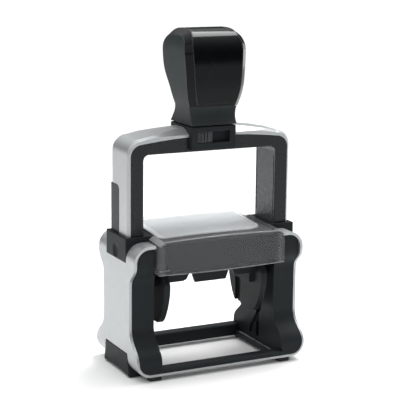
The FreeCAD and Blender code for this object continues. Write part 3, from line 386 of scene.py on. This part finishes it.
def make_materials():
    """One material for each material slot of the record."""
    leg_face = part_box("right_axle_bush")[0].x + 0.1 * MM
    return {
        "black_plastic": moulded("black_plastic", (0.019, 0.023, 0.0245), 0.42, shine=0.07),
        # the bow's faces that look along X inside its legs get a lighter painted reflection
        "bow_plastic": moulded("bow_plastic", (0.009, 0.011, 0.0125), 0.28, shine=0.28,
                               reflection_color=(0.085, 0.092, 0.096), reflection_bound=leg_face),
        "inlay_plastic": moulded("inlay_plastic", (0.02, 0.024, 0.026), 0.42),
        "slider_plastic": moulded("slider_plastic", (0.04, 0.044, 0.047), 0.40),
        "grip_matte": moulded("grip_matte", (0.024, 0.031, 0.032), 0.5, relief=0.00002, shine=0.18),
        "grip_gloss": glossy("grip_gloss", (0.003, 0.0038, 0.0045)),
        "tray_plastic": moulded("tray_plastic", (0.035, 0.04, 0.045), 0.45),
        "backing_plastic": moulded("backing_plastic", (0.42, 0.43, 0.44), 0.5),
        "silver_sheet": lacquer("silver_sheet", (0.44, 0.46, 0.465)),
        "bright_steel": metal("bright_steel", (0.6, 0.6, 0.6), 0.25),
        "spring_steel": metal("spring_steel", (0.42, 0.42, 0.43), 0.3),
        "screw_steel": metal("screw_steel", (0.5, 0.5, 0.48), 0.35),
        "bush_brass": metal("bush_brass", (0.7, 0.5, 0.22), 0.3),
        "foot_rubber": soft("foot_rubber", (0.02, 0.02, 0.021), 0.75, 5000.0, 0.00003),
        "plate_rubber": soft("plate_rubber", (0.06, 0.055, 0.055), 0.7, 6000.0, 0.00002),
        "pad_felt": soft("pad_felt", (0.012, 0.018, 0.09), 0.85, 3500.0, 0.00012),
        # the 0.42 is the strength of the painted highlight on the hood's rounded and slanted edges
        "smoked_clear": smoked("smoked_clear", (0.37, 0.38, 0.385), 0.085, 0.42,
                               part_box("hood_liner")[1].x + 0.5 * MM),
        "card_paper": paper("card_paper", (0.955, 0.975, 0.98)),
    }


def dress_cad_nodes(materials):
    slots = {entry["node"]: entry["material_slot"] for entry in frame["record"]["subparts"]}
    for name, node in frame["nodes"].items():
        node.data.materials.clear()
        node.data.materials.append(materials[slots[name]])


# ---- pieces of its own ----
SPRING_WIRE = 0.35 * MM       # radius of the wire
SPRING_TURNS = 22
SPRING_STEPS = 20             # points to a turn
SPRING_ROUNDNESS = 2          # bevel resolution of the wire
CLOSED_TURNS = 2.0            # that lie close together at each end
CLOSED_PITCH = 2.2            # rise of one of them, in wire radii
BEVEL_SEGMENTS = 3

LINER_SET_BACK = 0.15 * MM    # the CAD liner shares a plane with the hood's inner wall
LINER_CORNER = 1.5 * MM
LINER_TAPER = 1.6 * MM
LINER_BEVEL = 0.15 * MM

ROOF_ARCH = 0.7 * MM          # rise of the hood's roof at its middle
ROOF_RISE = 2.8 * MM          # and from its front to its rear
ROOF_WALL = 1.42 * MM
CARD_LONGER = 4.0 * MM        # than the CAD card, to the right
CARD_THICK = 0.3 * MM
CARD_GRID = (48, 12)
LEFT_CORNER = (3 * MM, 2.5 * MM)       # length along the edge and depth of the cut at each corner
RIGHT_CORNER = (10 * MM, 8 * MM)
REAR_CORNER = (4 * MM, 5 * MM)
FLAT_NORMAL = 0.7             # part of the normal along Z on a face of the card that is shaded smooth


def evaluated_mesh(name, data, change=None):
    """The mesh that the data gives as an object, with whatever modifiers change adds to it."""
    draft = bpy.data.objects.new(name + "_draft", data)
    bpy.context.scene.collection.objects.link(draft)
    if change:
        change(draft)
    bpy.context.view_layer.update()
    mesh = bpy.data.meshes.new_from_object(draft.evaluated_get(bpy.context.evaluated_depsgraph_get()))
    bpy.data.objects.remove(draft)
    return mesh


def bevelled(mesh, width):
    """The mesh with its edges rounded, as a new mesh."""
    def rounded(draft):
        rounding = draft.modifiers.new("rounding", "BEVEL")
        rounding.width = width
        rounding.segments = BEVEL_SEGMENTS
        rounding.limit_method = "ANGLE"

    return evaluated_mesh(mesh.name, mesh, rounded)


def place_piece(name, mesh, material, body, node):
    mesh.materials.clear()
    mesh.materials.append(material)
    piece = bpy.data.objects.new(name, mesh)
    bpy.context.scene.collection.objects.link(piece)
    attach(piece, body)
    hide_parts(node)
    return piece


def make_spring(side, material):
    """Return spring as a round wire on a helix, with closed end coils."""
    low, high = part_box(side + "_return_spring")
    wire = SPRING_WIRE
    coil = (high.x - low.x) / 2 - wire
    middle = (low + high) / 2
    length = high.z - low.z - 2 * wire
    curve = bpy.data.curves.new(side + "_spring", "CURVE")
    curve.dimensions = "3D"
    curve.bevel_depth = wire
    curve.bevel_resolution = SPRING_ROUNDNESS
    curve.use_fill_caps = True
    spline = curve.splines.new("POLY")
    spline.points.add(SPRING_TURNS * SPRING_STEPS)
    open_turns = SPRING_TURNS - 2 * CLOSED_TURNS
    open_length = length - 2 * CLOSED_TURNS * CLOSED_PITCH * wire
    for i, point in enumerate(spline.points):
        turn = i / SPRING_STEPS
        closed = min(turn, CLOSED_TURNS) + max(0.0, turn - SPRING_TURNS + CLOSED_TURNS)
        opened = min(max(turn - CLOSED_TURNS, 0.0), open_turns)
        rise = closed * CLOSED_PITCH * wire + open_length * opened / open_turns
        angle = 2 * math.pi * turn
        point.co = (middle.x + coil * math.cos(angle), middle.y + coil * math.sin(angle),
                    low.z + wire + rise, 1.0)
    mesh = evaluated_mesh(side + "_spring", curve)
    for face in mesh.polygons:
        face.use_smooth = True
    spring = place_piece(side + "_spring_coil", mesh, material, "frame", side + "_return_spring")
    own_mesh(spring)


def make_liner(material):
    """Dark plate behind the hood's front, set back from it so that the clear front stays whole."""
    low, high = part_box("hood_liner")
    corner, taper = LINER_CORNER, LINER_TAPER
    y0, y1 = low.y + LINER_SET_BACK, high.y + LINER_SET_BACK
    outline = [(high.x - taper - corner, low.z), (high.x - taper, low.z + corner),
               (high.x, high.z - corner), (high.x - corner, high.z)]
    outline += [(-x, z) for x, z in reversed(outline)]
    count = len(outline)
    points = [(x, y, z) for y in (y0, y1) for x, z in outline]
    faces = [tuple(range(count)), tuple(range(2 * count - 1, count - 1, -1))]
    faces += [(i, i + count, (i + 1) % count + count, (i + 1) % count) for i in range(count)]
    mesh = bpy.data.meshes.new("liner")
    mesh.from_pydata(points, [], faces)
    mesh.validate()
    place_piece("liner_plate", bevelled(mesh, LINER_BEVEL), material, "hood", "hood_liner")


def make_card(material):
    """Card under the hood's roof, arched and sloped with it, its corners cut round."""
    low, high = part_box("index_card")
    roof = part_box("hood")
    front_edge = roof[1].z - ROOF_ARCH - ROOF_RISE
    slope = ROOF_RISE / (roof[1].y - roof[0].y)
    left, right = low.x, high.x + CARD_LONGER
    columns, rows = CARD_GRID
    points = []
    for side in (0.0, CARD_THICK):
        for i in range(columns + 1):
            x = left + (right - left) * (i / columns)
            # the front corners are round, the right one more so, and the rear one on the left is cut
            at_left = max(0.0, 1 - (x - left) / LEFT_CORNER[0])
            at_right = max(0.0, 1 - (right - x) / RIGHT_CORNER[0])
            at_rear = max(0.0, 1 - (x - left) / REAR_CORNER[0])
            round_right = 1 - math.sqrt(max(0.0, 1 - at_right ** 2))
            y0 = low.y + LEFT_CORNER[1] * at_left ** 2 + RIGHT_CORNER[1] * round_right
            y1 = high.y - REAR_CORNER[1] * at_rear
            for j in range(rows + 1):
                y = y0 + (y1 - y0) * j / rows
                arch = ROOF_ARCH * (1 - (x / roof[1].x) ** 2)
                z = front_edge - ROOF_WALL + arch + slope * (y - roof[0].y) - side
                points.append((x, y, z))
    layer = (columns + 1) * (rows + 1)

    def index(i, j, side):
        return side * layer + i * (rows + 1) + j

    faces = []
    for i in range(columns):
        for j in range(rows):
            faces.append([index(i, j, 0), index(i + 1, j, 0), index(i + 1, j + 1, 0), index(i, j + 1, 0)])
            faces.append([index(i, j, 1), index(i, j + 1, 1), index(i + 1, j + 1, 1), index(i + 1, j, 1)])
    rim = [(i, 0) for i in range(columns)] + [(columns, j) for j in range(rows)]
    rim += [(i, rows) for i in range(columns, 0, -1)] + [(0, j) for j in range(rows, 0, -1)]
    for (i, j), (k, m) in zip(rim, rim[1:] + rim[:1]):
        faces.append([index(i, j, 0), index(i, j, 1), index(k, m, 1), index(k, m, 0)])
    mesh = bpy.data.meshes.new("card")
    mesh.from_pydata(points, [], faces)
    mesh.validate()
    for face in mesh.polygons:
        face.use_smooth = abs(face.normal.z) > FLAT_NORMAL
    place_piece("card_sheet", mesh, material, "hood", "index_card")


def main():
    bpy.context.scene.view_settings.view_transform = "Standard"
    make_camera()
    make_lights()
    make_floor()
    materials = make_materials()
    dress_cad_nodes(materials)
    for side in ("left", "right"):
        make_spring(side, materials["spring_steel"])
    make_liner(materials["black_plastic"])
    make_card(materials["card_paper"])


main()
